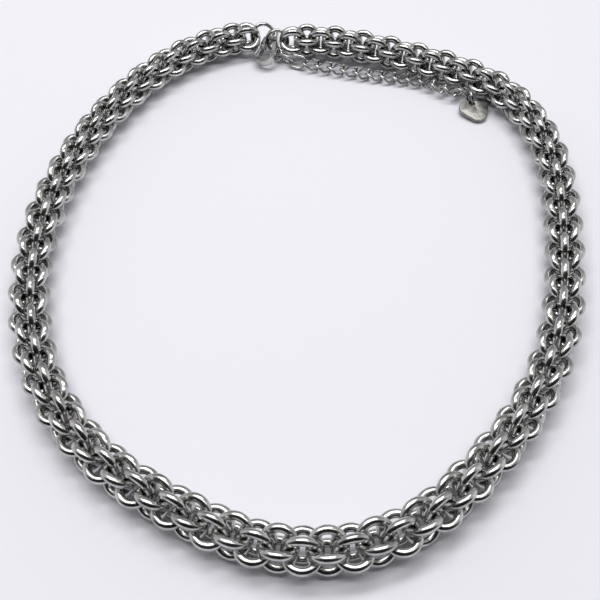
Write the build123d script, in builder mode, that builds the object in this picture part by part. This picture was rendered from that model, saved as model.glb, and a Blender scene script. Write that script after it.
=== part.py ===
from build123d import *
from math import atan2, cos, degrees, radians, sin
import os

# The necklace lies on the surface z = 0, open in the middle, clasp at the back (+Y)
# Lengths are millimetres and angles degrees

# Wire and play of the main chain
chain_wire = 1.65
link_play = 0.25
link_turn = 45.0
side_roundness = 0.95

# Link sizes in wire thicknesses, by distance from the front as a share of half the chain
# Columns: reach, step from one link to the next, width across the chain
LINK_SIZES = [
    (0.07, 2.67, 5.80),
    (0.16, 2.51, 5.68),
    (0.36, 2.38, 5.56),
    (0.62, 2.30, 5.45),
    (1.01, 2.24, 5.33),
]

# Chain centre line seen from above, from the clasp round the left, the front and the right
CHAIN_ROUTE = [
    (-14.14, 69.73),
    (-25.4, 65.36),
    (-36.0, 56.6),
    (-44.8, 44.4),
    (-51.8, 29.6),
    (-56.4, 13.4),
    (-58.2, -3.0),
    (-57.0, -19.4),
    (-52.9, -34.8),
    (-45.3, -48.4),
    (-34.6, -59.4),
    (-21.8, -67.6),
    (-7.4, -74.0),
    (6.6, -75.2),
    (20.4, -70.6),
    (32.8, -60.2),
    (43.4, -47.4),
    (51.6, -32.4),
    (56.4, -15.6),
    (58.9, 1.6),
    (59.9, 18.4),
    (58.0, 33.4),
    (52.0, 46.4),
    (42.0, 54.9),
    (29.6, 60.8),
    (16.8, 65.6),
    (6.4, 67.9),
    (-1.9, 68.3),
]

# Roll of the chain about its own centre line: share of the route, roll
ROLL_TABLE = [(0.0, -21.5), (0.28, -14.0), (0.4, 0.0), (0.56, 0.0), (0.66, -10.0), (1.0, -16.0)]

# Jump rings at the chain's two ends
end_ring_wire = 0.95
left_ring_width = 6.85
left_ring_lean = 66.5
right_ring_width = 6.42
right_ring_lean = 119.0
ring_play = 0.15

# Lobster clasp, in its own plane: eye at the origin, tip towards -Y, gate on the -X side
clasp_thickness = 1.8
clasp_width = 5.8
clasp_reach = 7.4
eye_radius = 1.5
eye_hole = 1.0
eye_thickness = 0.9
eye_step = -1.7
window_width = 3.6
window_neck = 2.4
window_start = 2.5
clasp_heading = (-0.263, -1.0, -0.237)
clasp_roll = 14.85
clasp_eye = (-7.18, 71.14, 4.39)
pin_place = (-1.65, -4.4)
pin_radius = 0.3
pin_clearance = 0.05
cheek_radius = 0.7
knuckle_radius = 0.62
knuckle_thickness = 0.8
gate_reach = 4.1
gate_gap = 0.12
knob_place = (-2.95, -6.9)
knob_radius = 0.6

# Extension chain and what hangs from it
extension_wire = 0.7
extension_link_width = 3.8
extension_play = 0.1
plain_link_length = 5.0
plain_links = 3
twisted_link_length = 4.92
link_twist = 45.0
twisted_links = 13
extension_start = 2.09
EXTENSION_ROUTE = [
    (-7.4, 68.14, 1.46),
    (-2.47, 63.28, 1.92),
    (1.9, 61.9, 1.89),
    (11.0, 59.6, 1.6),
    (22.0, 57.22, 1.34),
    (32.2, 54.4, 1.75),
    (37.6, 50.72, 2.32),
    (42.68, 49.6, 2.39),
]
# Roll of the extension's links by their number from the ring
EXTENSION_ROLLS = [(0, 52.2), (1, -66.2), (2, 57.6), (3, 12.6), (5, 0.0), (11, 0.0), (15, -45.0)]
tag_ring_width = 4.4
tag_width = 7.6
tag_height = 7.0
tag_thickness = 1.0
tag_hole_radius = 0.75
tag_hole_inset = 1.35
tag_lobe_share = 0.3
tag_tip_radius = 2.4
tag_ring_heading = (0.35, -1.34, 0.0)
tag_heading = (0.35, -0.92, -0.16)
tag_hang = 20.0


def oval_sizes(length, width, wire, roundness):
    """Half length, half width, side radius and end radius of an oval ring's centre line."""
    half_length = (length - wire) / 2
    half_width = (width - wire) / 2
    side_radius = roundness * min(half_length, half_width)
    flat = half_width - side_radius
    end_radius = (half_length**2 + flat**2 - side_radius**2) / (2 * (half_length - side_radius))
    return half_length, half_width, side_radius, end_radius


def cage_link(length, width):
    """A link of the main chain: two oval rings that cross at right angles, joined at both ends."""
    half_length, half_width, side, end = oval_sizes(length, width, chain_wire, side_roundness)
    end_centre = half_length - end
    turn = degrees(atan2(half_width - side, -end_centre))
    with BuildPart() as link:
        for ring_plane in (Plane.XY, Plane.XZ):
            with BuildLine(ring_plane):
                CenterArc((end_centre, 0), end, -turn, 2 * turn)
                CenterArc((0, half_width - side), side, turn, 180 - 2 * turn)
                CenterArc((-end_centre, 0), end, 180 - turn, 2 * turn)
                CenterArc((0, side - half_width), side, 180 + turn, 180 - 2 * turn)
            with BuildSketch(Plane((half_length, 0, 0), x_dir=(1, 0, 0), z_dir=ring_plane.y_dir)):
                Circle(chain_wire / 2)
            sweep()
    return link.part


def round_ring(width, wire):
    """A plain round ring in its own XY plane."""
    with BuildPart() as ring:
        with BuildSketch(Plane.XZ):
            with Locations(((width - wire) / 2, 0)):
                Circle(wire / 2)
        revolve(axis=Axis.Z)
    return ring.part


def oval_link(length, width, wire):
    """A plain link with round ends and straight sides in its own XY plane, long along X."""
    end_radius = (width - wire) / 2
    straight = length - wire - 2 * end_radius
    with BuildPart() as link:
        with BuildLine():
            Line((-straight / 2, end_radius), (straight / 2, end_radius))
            CenterArc((straight / 2, 0), end_radius, 90, -180)
            Line((straight / 2, -end_radius), (-straight / 2, -end_radius))
            CenterArc((-straight / 2, 0), end_radius, 270, -180)
        with BuildSketch(Plane((0, end_radius, 0), x_dir=(0, 1, 0), z_dir=(1, 0, 0))):
            Circle(wire / 2)
        sweep()
    return link.part


def twisted_link(length, width, wire):
    """A flat-lying link, long along X, its round ends turned by opposite eighths of a turn."""
    end_radius = (width - wire) / 2
    tip = (length - wire) / 2
    straight = tip - end_radius
    shoulder = end_radius * sin(radians(link_twist))
    corners = [(straight + shoulder, shoulder), (straight, end_radius), (0, end_radius)]
    with BuildPart() as link:
        for side in (-1, 1):
            far_half = []
            for along, across in corners:
                twist = radians(link_twist) * sin(radians(90) * along / tip)
                far_half.append((along, side * across * cos(twist), side * across * sin(twist)))
            near_half = [(-along, across, -height) for along, across, height in far_half]
            points = [(-tip, 0, 0), *near_half, *far_half[1::-1], (tip, 0, 0)]
            with BuildLine():
                Spline(*points, tangents=[(0, side, -side), (0, -side, -side)])
            with BuildSketch(Plane(points[0], x_dir=(1, 0, 0), z_dir=(0, side, -side))):
                Circle(wire / 2)
            sweep()
    return link.part


def table_value(table, share):
    """Value at a share of the way, between the rows of a two-column table."""
    for (start, first), (finish, second) in zip(table, table[1:]):
        if share <= finish:
            return first + (second - first) * (share - start) / (finish - start)
    return table[-1][1]


def link_size(share):
    """Step and width of the main chain's link at a share of the route, as lengths."""
    from_front = abs(2 * share - 1)
    for reach, step, width in LINK_SIZES:
        if from_front <= reach:
            return step * chain_wire, width * chain_wire
    return LINK_SIZES[-1][1] * chain_wire, LINK_SIZES[-1][2] * chain_wire


def link_stations(route_length):
    """Distances of an odd number of links along the route, with the step and width of each."""
    distance = 0.0
    stations = []
    while distance <= route_length:
        step, width = link_size(distance / route_length)
        stations.append((distance, step, width))
        next_step, next_width = link_size((distance + step) / route_length)
        distance += (step + next_step) / 2
    if len(stations) % 2 == 0:
        stations.pop()
    stretch = route_length / stations[-1][0]
    return [(place * stretch, step * stretch, width) for place, step, width in stations]


def leaning_plane(centre, heading, lean):
    """Plane through a centre, its X along the heading and its Y leaning up by an angle."""
    along = Vector(*heading).normalized()
    sideways = Vector(-along.Y, along.X, 0).normalized()
    upward = along.cross(sideways)
    rise = sideways * cos(radians(lean)) + upward * sin(radians(lean))
    return Plane(centre, x_dir=along, z_dir=along.cross(rise))


# The main chain: the links' places, then one copy of the right size at each
route = Spline(*[(x, y, 0) for x, y in CHAIN_ROUTE])
stations = link_stations(route.length)
axis_height = {width: width / 2 for width in {station[2] for station in stations}}
link_shapes = {}
link_planes = []
for number, (distance, step, width) in enumerate(stations):
    share = distance / route.length
    spot = route.position_at(distance, position_mode=PositionMode.LENGTH)
    ahead = route.tangent_at(distance, position_mode=PositionMode.LENGTH)
    roll = table_value(ROLL_TABLE, share) + link_turn * (number % 2)
    link_planes.append(leaning_plane((spot.X, spot.Y, axis_height[width]), ahead, roll))
    length = step + 2 * chain_wire + link_play
    if width not in link_shapes:
        link_shapes[width] = cage_link(length, width)

links = [
    link_shapes[station[2]].moved(plane.location)
    for station, plane in zip(stations, link_planes)
]
front = len(links) // 2
chain_left = Compound(label="chain_left", children=links[:front])
chain_right = Compound(label="chain_right", children=links[front:])


def end_ring(end_plane, outward, width, lean):
    """A jump ring round the pole of an end link, its X pointing away from the chain."""
    pole = (stations[0][1] + chain_wire + link_play) / 2
    caught = pole - chain_wire / 2 - ring_play - end_ring_wire / 2
    centre = end_plane.origin + outward * (caught + (width - end_ring_wire) / 2)
    return round_ring(width, end_ring_wire).moved(leaning_plane(centre, outward, lean).location)


left_end_ring = end_ring(link_planes[0], -route.tangent_at(0), left_ring_width, left_ring_lean)
left_end_ring.label = "left_end_ring"
right_end_ring = end_ring(link_planes[-1], route.tangent_at(1), right_ring_width, right_ring_lean)
right_end_ring.label = "right_end_ring"


def clasp_outline():
    """Face of the clasp's drop shape, eye to tip."""
    with BuildSketch() as outline:
        Circle(eye_radius)
        with Locations((0, -clasp_reach)):
            Circle(clasp_width / 2)
        make_hull()
    return outline.sketch


def clasp_window():
    """Face of the opening that the claw closes round."""
    with BuildSketch() as window:
        with Locations((0, -window_start - window_neck / 2)):
            Circle(window_neck / 2)
        with Locations((0, -clasp_reach)):
            Circle(window_width / 2)
        make_hull()
    return window.sketch


def gate_zone(inner_radius, outer_radius, side):
    """Face of the clasp's gate side between two circles round the pin."""
    with BuildSketch() as zone:
        with Locations(pin_place):
            Circle(outer_radius)
            if inner_radius > 0:
                Circle(inner_radius, mode=Mode.SUBTRACT)
        with Locations((-side, pin_place[1])):
            Rectangle(
                clasp_width, 2 * clasp_reach, align=(Align.MAX, Align.MAX), mode=Mode.INTERSECT
            )
    return zone.sketch


def make_clasp_body():
    """The drop-shaped body with its eye, its claw and the slot that the gate turns in."""
    with BuildPart() as body:
        with BuildSketch():
            add(clasp_outline())
            add(clasp_window(), mode=Mode.SUBTRACT)
            Circle(eye_hole, mode=Mode.SUBTRACT)
        extrude(amount=clasp_thickness / 2, both=True)
        for face in (1, -1):
            with BuildSketch(Plane.XY.offset(face * eye_thickness / 2)):
                with Locations((0, eye_step)):
                    Rectangle(clasp_width, clasp_width, align=(Align.CENTER, Align.MIN))
            extrude(amount=face * clasp_thickness, mode=Mode.SUBTRACT)
        with BuildSketch():
            add(gate_zone(cheek_radius, gate_reach, 0))
        extrude(amount=clasp_thickness, both=True, mode=Mode.SUBTRACT)
        with BuildSketch():
            with Locations(pin_place):
                Circle(cheek_radius)
        extrude(amount=clasp_thickness / 2, both=True)
        with BuildSketch():
            with Locations(pin_place):
                Circle(cheek_radius + gate_gap)
        extrude(amount=knuckle_thickness / 2 + gate_gap, both=True, mode=Mode.SUBTRACT)
        with BuildSketch():
            with Locations(pin_place):
                Circle(pin_radius + pin_clearance)
        extrude(amount=clasp_thickness, both=True, mode=Mode.SUBTRACT)
    return body.part


def make_clasp_lever():
    """The gate: a knuckle on the pin, an arm that follows the drop shape and a thumb knob."""
    arm_thickness = clasp_thickness - 2 * gate_gap
    with BuildPart() as lever:
        with BuildSketch():
            add(clasp_outline())
            with Locations(knob_place):
                Circle(knob_radius)
            add(clasp_window(), mode=Mode.SUBTRACT)
            add(gate_zone(cheek_radius + gate_gap, gate_reach - gate_gap, gate_gap), mode=Mode.INTERSECT)
        extrude(amount=arm_thickness / 2, both=True)
        with BuildSketch():
            add(clasp_outline())
            add(clasp_window(), mode=Mode.SUBTRACT)
            add(gate_zone(0, gate_reach - gate_gap, gate_gap), mode=Mode.INTERSECT)
            with Locations(pin_place):
                Circle(knuckle_radius)
        extrude(amount=knuckle_thickness / 2, both=True)
        with BuildSketch():
            with Locations(pin_place):
                Circle(pin_radius + pin_clearance)
        extrude(amount=clasp_thickness, both=True, mode=Mode.SUBTRACT)
    return lever.part


def make_clasp_pin():
    """The pin of the gate, flush with the clasp's faces."""
    with BuildPart() as pin:
        with BuildSketch():
            with Locations(pin_place):
                Circle(pin_radius)
        extrude(amount=clasp_thickness / 2, both=True)
    return pin.part


# The clasp's plane: Y points from the tip to the eye, and the roll lifts its +X side
to_tip = Vector(*clasp_heading).normalized()
level_normal = (Vector(0, 0, 1) - to_tip * to_tip.Z).normalized()
level_side = level_normal.cross(to_tip)
clasp_side = level_side * cos(radians(clasp_roll)) + level_normal * sin(radians(clasp_roll))
clasp_plane = Plane(clasp_eye, x_dir=clasp_side, z_dir=clasp_side.cross(-to_tip))

clasp_body = make_clasp_body().moved(clasp_plane.location)
clasp_body.label = "clasp_body"
clasp_lever = make_clasp_lever().moved(clasp_plane.location)
clasp_lever.label = "clasp_lever"
clasp_pin = make_clasp_pin().moved(clasp_plane.location)
clasp_pin.label = "clasp_pin"

# The extension: a few plain links at the ring, then twisted ones, evenly spaced
extension_route = Spline(*EXTENSION_ROUTE)
plain_shape = oval_link(plain_link_length, extension_link_width, extension_wire)
twisted_shape = twisted_link(twisted_link_length, extension_link_width, extension_wire)
extension_row = [(plain_shape, plain_link_length)] * plain_links
extension_row += [(twisted_shape, twisted_link_length)] * twisted_links
extension_list = []
distance = extension_start
for number, (shape, length) in enumerate(extension_row):
    if number > 0:
        distance += length - 2 * extension_wire - extension_play
    spot = extension_route.position_at(distance, position_mode=PositionMode.LENGTH)
    ahead = extension_route.tangent_at(distance, position_mode=PositionMode.LENGTH)
    roll = table_value(EXTENSION_ROLLS, number)
    last_plane = leaning_plane(spot, ahead, roll)
    extension_list.append(shape.moved(last_plane.location))
extension_chain = Compound(label="extension_chain", children=extension_list)


def make_tag():
    """A plain blunt heart-shaped plate, its hole at the origin and its tip towards -Y."""
    lobe_radius = tag_lobe_share * tag_width
    lobe_centre = tag_width / 2 - lobe_radius
    lobe_height = tag_hole_inset - lobe_radius
    with BuildPart() as plate:
        for side in (1, -1):
            with BuildSketch():
                with Locations((side * lobe_centre, lobe_height)):
                    Circle(lobe_radius)
                with Locations((0, tag_hole_inset - tag_height + tag_tip_radius)):
                    Circle(tag_tip_radius)
                make_hull()
            extrude(amount=tag_thickness / 2, both=True)
        with BuildSketch():
            Circle(tag_hole_radius)
        extrude(amount=tag_thickness, both=True, mode=Mode.SUBTRACT)
    return plate.part


# The ring at the free end stands across the last link, and the tag lies off its far side
free_end = last_plane.origin + last_plane.x_dir * (twisted_link_length - extension_wire) / 2
tag_ring_reach = (tag_ring_width - extension_wire) / 2
ring_heading = Vector(*tag_ring_heading).normalized()
ring_near = free_end - last_plane.x_dir * (extension_wire + extension_play)
ring_centre = ring_near + ring_heading * tag_ring_reach
ring_stand = leaning_plane((ring_centre.X, ring_centre.Y, tag_ring_width / 2), ring_heading, 90)
tag_ring = round_ring(tag_ring_width, extension_wire).moved(ring_stand.location)
tag_ring.label = "tag_ring"
ring_far = ring_stand.origin + ring_stand.x_dir * tag_ring_reach * cos(radians(tag_hang))
ring_far -= ring_stand.y_dir * tag_ring_reach * sin(radians(tag_hang))
tag_along = Vector(*tag_heading).normalized()
tag_side = Vector(-tag_along.Y, tag_along.X, 0).normalized()
tag_plane = Plane(ring_far, x_dir=tag_side, z_dir=tag_along.cross(tag_side))
tag = make_tag().moved(tag_plane.location)
tag.label = "tag"

parts = [chain_left, chain_right, left_end_ring, right_end_ring]
parts += [clasp_body, clasp_lever, clasp_pin, extension_chain, tag_ring, tag]
os.makedirs("parts", exist_ok=True)
for piece in parts:
    export_step(piece, f"parts/{piece.label}.step")
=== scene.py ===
import math

import bpy
import numpy as np
from mathutils import Matrix, Vector


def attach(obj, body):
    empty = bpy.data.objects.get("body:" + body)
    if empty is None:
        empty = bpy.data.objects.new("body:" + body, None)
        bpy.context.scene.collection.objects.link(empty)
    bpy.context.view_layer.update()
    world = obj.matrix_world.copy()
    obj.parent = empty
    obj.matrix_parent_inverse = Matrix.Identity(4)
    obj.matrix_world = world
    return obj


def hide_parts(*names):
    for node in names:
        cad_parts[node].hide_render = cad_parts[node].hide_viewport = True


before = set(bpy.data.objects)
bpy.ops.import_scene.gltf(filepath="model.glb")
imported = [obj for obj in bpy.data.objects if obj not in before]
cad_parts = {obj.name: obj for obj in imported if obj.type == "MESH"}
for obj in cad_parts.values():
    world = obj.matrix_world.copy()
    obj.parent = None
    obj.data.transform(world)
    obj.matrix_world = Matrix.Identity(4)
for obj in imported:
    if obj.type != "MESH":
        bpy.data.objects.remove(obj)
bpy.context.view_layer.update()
scene = bpy.context.scene
scene.view_settings.view_transform = "Standard"
print("stage: frame loaded")


class Socket:
    # wraps a node's output, so that maths on it reads as an expression
    def __init__(self, tree, output):
        self.tree = tree
        self.output = output

    def join(self, operation, other):
        node = self.tree.nodes.new("ShaderNodeMath")
        node.operation = operation
        for place, value in enumerate((self, other)):
            if isinstance(value, Socket):
                self.tree.links.new(value.output, node.inputs[place])
            else:
                node.inputs[place].default_value = value
        return Socket(self.tree, node.outputs[0])

    def __add__(self, other):
        return self.join("ADD", other)

    def __mul__(self, other):
        return self.join("MULTIPLY", other)

    __radd__ = __add__
    __rmul__ = __mul__


class Nodes:
    # a node tree, with a method that adds any node to it
    def __init__(self, tree):
        self.tree = tree

    def node(self, kind, settings=None, inputs=None, output=0):
        made = self.tree.nodes.new(kind)
        for name, value in (settings or {}).items():
            if name == "stops":
                ramp = made.color_ramp.elements
                while len(ramp) < len(value):
                    ramp.new(1.0)
                for stop, (place, colour) in zip(ramp, value):
                    stop.position = place
                    stop.color = (*colour, 1.0)
            else:
                setattr(made, name, value)
        for name, value in (inputs or {}).items():
            self.feed(made.inputs[name], value)
        return Socket(self.tree, made.outputs[output])

    def feed(self, target, value):
        if isinstance(value, Socket):
            self.tree.links.new(value.output, target)
        else:
            target.default_value = value


class Surface(Nodes):
    # one material
    def __init__(self, name):
        self.material = bpy.data.materials.new(name)
        self.material.use_nodes = True
        super().__init__(self.material.node_tree)
        self.shader = self.tree.nodes["Principled BSDF"]

    def set(self, **values):
        for name, value in values.items():
            self.feed(self.shader.inputs[name.replace("_", " ")], value)


steel = {
    "smearSize": 420.0,
    "smearDetail": 4.0,
    "smearShades": [(0.3, (0.32, 0.315, 0.31)), (0.62, (0.6, 0.595, 0.585))],
    "roughness": 0.14,
    "roughSpread": 0.12,
    "scratchSize": 2600.0,
    "scratchDetail": 3.0,
    "scratchStretch": (1.0, 0.25, 0.6),
    "scratchDepth": 0.05,
    "scratchHeight": 0.00004,  # metres
}


def makeSteel():
    surface = Surface("polishedSteel")
    place = surface.node("ShaderNodeTexCoord", output="Object")
    smear = surface.node(
        "ShaderNodeTexNoise",
        inputs={"Vector": place, "Scale": steel["smearSize"], "Detail": steel["smearDetail"]},
    )
    shade = surface.node(
        "ShaderNodeValToRGB", settings={"stops": steel["smearShades"]}, inputs={"Fac": smear}
    )
    stretched = surface.node(
        "ShaderNodeVectorMath",
        settings={"operation": "MULTIPLY"},
        inputs={0: place, 1: steel["scratchStretch"]},
    )
    scratches = surface.node(
        "ShaderNodeTexNoise",
        inputs={
            "Vector": stretched,
            "Scale": steel["scratchSize"],
            "Detail": steel["scratchDetail"],
        },
    )
    relief = surface.node(
        "ShaderNodeBump",
        inputs={
            "Height": scratches,
            "Strength": steel["scratchDepth"],
            "Distance": steel["scratchHeight"],
        },
    )
    surface.set(
        Base_Color=shade,
        Metallic=1.0,
        Roughness=smear * steel["roughSpread"] + steel["roughness"],
        Normal=relief,
    )
    return surface.material


wornMetal = {
    "stainSize": 700.0,
    "stainDetail": 6.0,
    "stainShades": [(0.36, (0.15, 0.147, 0.137)), (0.66, (0.36, 0.355, 0.335))],
    "roughness": 0.3,
    "roughSpread": 0.22,
    "pitSize": 4200.0,
    "pitDetail": 2.0,
    "pitDepth": 0.3,
    "pitHeight": 0.00006,  # metres
}


def makeWornMetal():
    surface = Surface("wornSteel")
    place = surface.node("ShaderNodeTexCoord", output="Object")
    stain = surface.node(
        "ShaderNodeTexNoise",
        inputs={
            "Vector": place,
            "Scale": wornMetal["stainSize"],
            "Detail": wornMetal["stainDetail"],
        },
    )
    shade = surface.node(
        "ShaderNodeValToRGB", settings={"stops": wornMetal["stainShades"]}, inputs={"Fac": stain}
    )
    pits = surface.node(
        "ShaderNodeTexNoise",
        inputs={"Vector": place, "Scale": wornMetal["pitSize"], "Detail": wornMetal["pitDetail"]},
    )
    relief = surface.node(
        "ShaderNodeBump",
        inputs={
            "Height": pits,
            "Strength": wornMetal["pitDepth"],
            "Distance": wornMetal["pitHeight"],
        },
    )
    surface.set(
        Base_Color=shade,
        Metallic=1.0,
        Roughness=stain * wornMetal["roughSpread"] + wornMetal["roughness"],
        Normal=relief,
    )
    return surface.material


steelMaterial = makeSteel()
wornMaterial = makeWornMetal()
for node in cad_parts.values():
    node.data.materials.clear()
    node.data.materials.append(steelMaterial)
print("stage: metal")

weldDistance = 0.000002  # metres, corners nearer than this become one


def deselect():
    bpy.ops.object.select_all(action="DESELECT")


def activate(objects):
    # these objects alone are selected, and the first of them is active
    deselect()
    for item in objects:
        item.select_set(True)
    bpy.context.view_layer.objects.active = objects[0]


def looseParts(node):
    # a welded copy of a node's mesh, one object for each solid in it
    twin = node.copy()
    twin.data = node.data.copy()
    twin.parent = None
    twin.matrix_world = Matrix.Identity(4)
    scene.collection.objects.link(twin)
    activate([twin])
    bpy.ops.object.mode_set(mode="EDIT")
    bpy.ops.mesh.select_all(action="SELECT")
    bpy.ops.mesh.remove_doubles(threshold=weldDistance)
    bpy.ops.mesh.separate(type="LOOSE")
    bpy.ops.object.mode_set(mode="OBJECT")
    return list(bpy.context.selected_objects)


def surfaceSamples(item):
    # middles and areas of an object's faces, and its corners
    mesh = item.data
    middles = np.empty(len(mesh.polygons) * 3)
    areas = np.empty(len(mesh.polygons))
    corners = np.empty(len(mesh.vertices) * 3)
    mesh.polygons.foreach_get("center", middles)
    mesh.polygons.foreach_get("area", areas)
    mesh.vertices.foreach_get("co", corners)
    return middles.reshape(-1, 3), areas, corners.reshape(-1, 3)


def spreadAxes(middles, areas):
    # directions of a surface's spread from its middle, the least one first
    offsets = middles - np.average(middles, axis=0, weights=areas)
    return np.linalg.eigh((offsets * areas[:, None]).T @ offsets)[1].T


def placed(axes, corners):
    # matrix and size of a shape along three axes, its origin in the middle of its extent
    along = corners @ axes.T
    lowest, highest = along.min(axis=0), along.max(axis=0)
    place = np.eye(4)
    place[:3, :3] = axes.T
    place[:3, 3] = axes.T @ ((lowest + highest) / 2)
    return Matrix(place.tolist()), highest - lowest


def moveMesh(item, place):
    item.data.transform(place)
    item.data.update()


def finishPiece(item, name, material, body, *nodes):
    item.name = name
    item.data.name = name
    item.data.materials.clear()
    item.data.materials.append(material)
    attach(item, body)
    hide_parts(*nodes)


cage = {
    "wire": 0.00176,  # metres
    "arms": 4,  # around the chain, two ovals of two sides each
    "sideRoundness": 0.95,  # radius of an oval's side arc, of half its length
    "profileCorners": 14,
    "endSteps": 2,
    "sideSteps": 18,
    "solderSegments": 16,
    "solderRings": 8,
    "solderReach": (0.9, 1.62, 1.62),
    "sizeStep": 0.00005,  # metres, links whose widths differ by less share one model
}


def cagePlace(item):
    # a cage link spreads most along the chain, and its arms give its roll
    middles, areas, corners = surfaceSamples(item)
    axes = spreadAxes(middles, areas)
    along, first = axes[2], axes[0]
    second = np.cross(along, first)
    offsets = corners - corners.mean(axis=0)
    side, rise = offsets @ first, offsets @ second
    arms = cage["arms"]
    turns = np.exp(1j * arms * np.arctan2(rise, side))
    roll = np.angle((np.hypot(side, rise) ** arms * turns).sum()) / arms
    armSide = first * math.cos(roll) + second * math.sin(roll)
    return placed(np.array([along, armSide, np.cross(along, armSide)]), corners)


def makeOval(length, width, turn):
    # one oval ring of a cage link, spun arc by arc from the pole on +X, then rolled
    wire = cage["wire"]
    halfLength, halfWidth = (length - wire) / 2, (width - wire) / 2
    side = cage["sideRoundness"] * halfLength
    flat = halfWidth - side
    end = (halfLength**2 + flat**2 - side**2) / (2 * (halfLength - side))
    endTurn = math.atan2(flat, end - halfLength)
    sideTurn = math.pi - 2 * endTurn
    deselect()
    bpy.ops.mesh.primitive_circle_add(
        vertices=cage["profileCorners"],
        radius=wire / 2,
        location=(halfLength, 0, 0),
        rotation=(math.pi / 2, 0, 0),
    )
    oval = bpy.context.active_object
    bpy.ops.object.mode_set(mode="EDIT")
    bpy.ops.mesh.select_all(action="SELECT")
    arcs = [
        # centre, angle, steps
        ((halfLength - end, 0, 0), endTurn, cage["endSteps"]),
        ((0, flat, 0), sideTurn, cage["sideSteps"]),
        ((end - halfLength, 0, 0), 2 * endTurn, 2 * cage["endSteps"]),
        ((0, -flat, 0), sideTurn, cage["sideSteps"]),
        ((halfLength - end, 0, 0), endTurn, cage["endSteps"]),
    ]
    for centre, angle, steps in arcs:
        bpy.ops.mesh.spin(steps=steps, angle=angle, center=centre, axis=(0, 0, -1))
    bpy.ops.mesh.select_all(action="SELECT")
    bpy.ops.mesh.remove_doubles(threshold=weldDistance)
    bpy.ops.mesh.normals_make_consistent(inside=False)
    bpy.ops.object.mode_set(mode="OBJECT")
    bpy.ops.object.transform_apply(location=True, rotation=True, scale=True)
    moveMesh(oval, Matrix.Rotation(turn, 4, "X"))
    return oval


def makeSolder(place):
    # the flattened drop of metal where the two ovals cross
    deselect()
    bpy.ops.mesh.primitive_uv_sphere_add(
        segments=cage["solderSegments"],
        ring_count=cage["solderRings"],
        radius=cage["wire"] / 2,
        location=(0, 0, 0),
    )
    drop = bpy.context.active_object
    bpy.ops.object.mode_set(mode="EDIT")
    bpy.ops.mesh.select_all(action="SELECT")
    bpy.ops.transform.resize(value=cage["solderReach"])
    bpy.ops.transform.translate(value=(place, 0, 0))
    bpy.ops.object.mode_set(mode="OBJECT")
    bpy.ops.object.transform_apply(location=True, rotation=True, scale=True)
    return drop


def makeCage(length, width):
    # two ovals at right angles, joined at both poles
    pole = (length - cage["wire"]) / 2
    parts = [makeOval(length, width, 0), makeOval(length, width, math.pi / 2)]
    parts += [makeSolder(pole), makeSolder(-pole)]
    activate(parts)
    bpy.ops.object.join()
    bpy.ops.object.shade_smooth()
    return bpy.context.active_object


def makeChain(nodeName, pieceName):
    # a copy of the model of its size stands in for each solid link
    models = {}
    copies = []
    for solid in looseParts(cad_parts[nodeName]):
        place, size = cagePlace(solid)
        kind = round(size[1] / cage["sizeStep"])
        if kind not in models:
            models[kind] = makeCage(size[0], size[1])
        link = models[kind].copy()
        link.data = models[kind].data.copy()
        scene.collection.objects.link(link)
        moveMesh(link, place)
        copies.append(link)
        bpy.data.objects.remove(solid)
    activate(copies)
    bpy.ops.object.join()
    for model in models.values():
        bpy.data.objects.remove(model)
    print("links in", pieceName, len(copies), "sizes", len(models))
    finishPiece(bpy.context.active_object, pieceName, steelMaterial, "necklace", nodeName)


makeChain("chain_left", "chainLeft")
makeChain("chain_right", "chainRight")
print("stage: chain")

jumpRing = {
    "aroundSteps": 72,
    "profileCorners": 18,
    "seamReach": 1.02,  # of the wire's radius, just past its skin
    "seamDepth": 0.05,  # of the wire, thin enough for one row of corners
    "seamGrip": 0.86,
    "leftSeam": math.radians(200),
    "rightSeam": math.radians(250),
    "tagSeam": math.radians(120),
}


def ringPlace(item):
    # a ring spreads least along its own axis
    middles, areas, corners = surfaceSamples(item)
    axes = spreadAxes(middles, areas)
    return placed(np.array([axes[2], np.cross(axes[0], axes[2]), axes[0]]), corners)


def makeRing(nodeName, pieceName, seamAngle):
    # a bent wire ring, pinched where its two ends meet
    solid = looseParts(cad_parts[nodeName])[0]
    place, size = ringPlace(solid)
    bpy.data.objects.remove(solid)
    wire = size[2]
    reach = (size[0] - wire) / 2
    deselect()
    bpy.ops.mesh.primitive_torus_add(
        major_radius=reach,
        minor_radius=wire / 2,
        major_segments=jumpRing["aroundSteps"],
        minor_segments=jumpRing["profileCorners"],
        location=(0, 0, 0),
    )
    ring = bpy.context.active_object
    bpy.ops.object.mode_set(mode="EDIT")
    bpy.ops.mesh.select_mode(type="VERT")
    bpy.ops.mesh.select_all(action="DESELECT")
    bpy.ops.object.mode_set(mode="OBJECT")
    seam = Vector((reach, 0, 0))
    seamRadius = wire / 2 * jumpRing["seamReach"]
    seamDepth = wire * jumpRing["seamDepth"]
    for corner in ring.data.vertices:
        near = (corner.co - seam).length < seamRadius
        corner.select = near and abs(corner.co.y) < seamDepth
    bpy.ops.object.mode_set(mode="EDIT")
    bpy.ops.transform.resize(value=(jumpRing["seamGrip"],) * 3, center_override=seam)
    bpy.ops.object.mode_set(mode="OBJECT")
    bpy.ops.object.shade_smooth()
    moveMesh(ring, place @ Matrix.Rotation(seamAngle, 4, "Z"))
    finishPiece(ring, pieceName, steelMaterial, "necklace", nodeName)


makeRing("left_end_ring", "leftEndRing", jumpRing["leftSeam"])
makeRing("right_end_ring", "rightEndRing", jumpRing["rightSeam"])
makeRing("tag_ring", "tagRing", jumpRing["tagSeam"])
print("stage: rings")

softened = {
    "flatAngle": math.radians(0.5),  # faces that meet flatter than this become one
    "smoothAngle": math.radians(50),
    "edgeSteps": 3,
    # width of each piece's rounded edges in metres
    "claspBodyEdge": 0.00025,
    "claspLeverEdge": 0.00015,
    "claspPinEdge": 0.00006,
    "extensionEdge": 0,
    "tagEdge": 0.0002,
}


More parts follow.
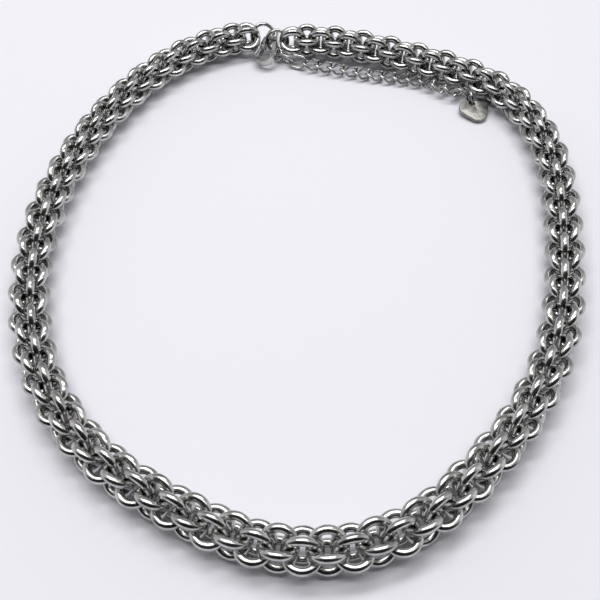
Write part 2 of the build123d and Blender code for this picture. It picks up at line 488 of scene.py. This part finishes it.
def makeSoftened(nodeName, pieceName, body, edge, material):
    # a welded copy of a node, its hard edges rounded over
    parts = looseParts(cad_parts[nodeName])
    activate(parts)
    if len(parts) > 1:
        bpy.ops.object.join()
    piece = bpy.context.active_object
    bpy.ops.object.mode_set(mode="EDIT")
    bpy.ops.mesh.select_all(action="SELECT")
    bpy.ops.mesh.normals_make_consistent(inside=False)
    bpy.ops.mesh.dissolve_limited(angle_limit=softened["flatAngle"])
    bpy.ops.object.mode_set(mode="OBJECT")
    if edge > 0:
        rounding = piece.modifiers.new("rounding", "BEVEL")
        rounding.width = edge
        rounding.segments = softened["edgeSteps"]
        rounding.limit_method = "ANGLE"
        rounding.angle_limit = softened["smoothAngle"]
        bpy.ops.object.modifier_apply(modifier="rounding")
    bpy.ops.object.shade_smooth_by_angle(angle=softened["smoothAngle"])
    finishPiece(piece, pieceName, material, body, nodeName)


makeSoftened("clasp_body", "claspBody", "necklace", softened["claspBodyEdge"], steelMaterial)
makeSoftened("clasp_lever", "claspLever", "gate", softened["claspLeverEdge"], steelMaterial)
makeSoftened("clasp_pin", "claspPin", "necklace", softened["claspPinEdge"], steelMaterial)
makeSoftened(
    "extension_chain", "extensionChain", "necklace", softened["extensionEdge"], steelMaterial
)
makeSoftened("tag", "plainTag", "necklace", softened["tagEdge"], wornMaterial)
print("stage: clasp, extension and tag")

photo = {
    "pixels": 600,
    "focalPixels": 984.0,
    "elevation": 52.0,  # degrees that the view looks down by
    "place": (0.0, -0.147, 0.168),
    "sensor": 36.0,  # millimetres
    "nearest": 0.005,
}


def makeCamera():
    camera = bpy.data.cameras.new("camera")
    camera.sensor_width = photo["sensor"]
    camera.lens = photo["focalPixels"] / photo["pixels"] * photo["sensor"]
    camera.clip_start = photo["nearest"]
    stand = bpy.data.objects.new("camera", camera)
    stand.location = photo["place"]
    stand.rotation_euler = (math.radians(90 - photo["elevation"]), 0, 0)
    scene.collection.objects.link(stand)
    scene.camera = stand


makeCamera()

studio = {
    "floorSize": 9.0,
    "floorColour": (0.87, 0.865, 0.925, 1.0),
    "floorRoughness": 0.75,
    "skyStrength": 1.0,
    "sideGain": 1.1,
    "skyStops": [
        # from 0 towards -Y to 1 towards +Y
        (0.0, (0.01, 0.01, 0.011)),
        (0.34, (0.03, 0.03, 0.031)),
        (0.5, (0.44, 0.44, 0.435)),
        (1.0, (0.34, 0.34, 0.345)),
    ],
    "lamps": [
        # name, place, aim, width, height, watts
        ("stripLightBack", (-0.06, 0.24, 0.74), (0, 0, 0), 0.8, 0.2, 3.2),
        ("stripLightFront", (0.0, -0.1, 0.8), (0, 0, 0), 0.9, 0.1, 1.9),
    ],
}


def makeLamp(name, place, aim, width, height, watts):
    lamp = bpy.data.lights.new(name, "AREA")
    lamp.shape = "RECTANGLE"
    lamp.size = width
    lamp.size_y = height
    lamp.energy = watts
    stand = bpy.data.objects.new(name, lamp)
    stand.location = place
    heading = Vector(aim) - Vector(place)
    stand.rotation_euler = heading.to_track_quat("-Z", "Y").to_euler()
    scene.collection.objects.link(stand)


def makeFloor():
    deselect()
    bpy.ops.mesh.primitive_plane_add(size=studio["floorSize"], location=(0, 0, 0))
    floor = bpy.context.active_object
    floor.name = "floor"
    paper = Surface("paper")
    paper.set(Base_Color=studio["floorColour"], Roughness=studio["floorRoughness"])
    floor.data.materials.append(paper.material)


def makeSky():
    # stronger to the left and right, and dark towards -Y
    world = bpy.data.worlds.new("sky")
    world.use_nodes = True
    sky = Nodes(world.node_tree)
    way = sky.node("ShaderNodeTexCoord")
    across = sky.node("ShaderNodeSeparateXYZ", inputs={"Vector": way}, output="X")
    ahead = sky.node("ShaderNodeSeparateXYZ", inputs={"Vector": way}, output="Y")
    light = sky.node(
        "ShaderNodeValToRGB",
        settings={"stops": studio["skyStops"]},
        inputs={"Fac": ahead * 0.5 + 0.5},
    )
    strength = across * across * studio["sideGain"] + studio["skyStrength"]
    backdrop = world.node_tree.nodes["Background"]
    sky.feed(backdrop.inputs["Color"], light)
    sky.feed(backdrop.inputs["Strength"], strength)
    scene.world = world


makeFloor()
makeSky()
for lamp in studio["lamps"]:
    makeLamp(*lamp)
print("stage: studio")
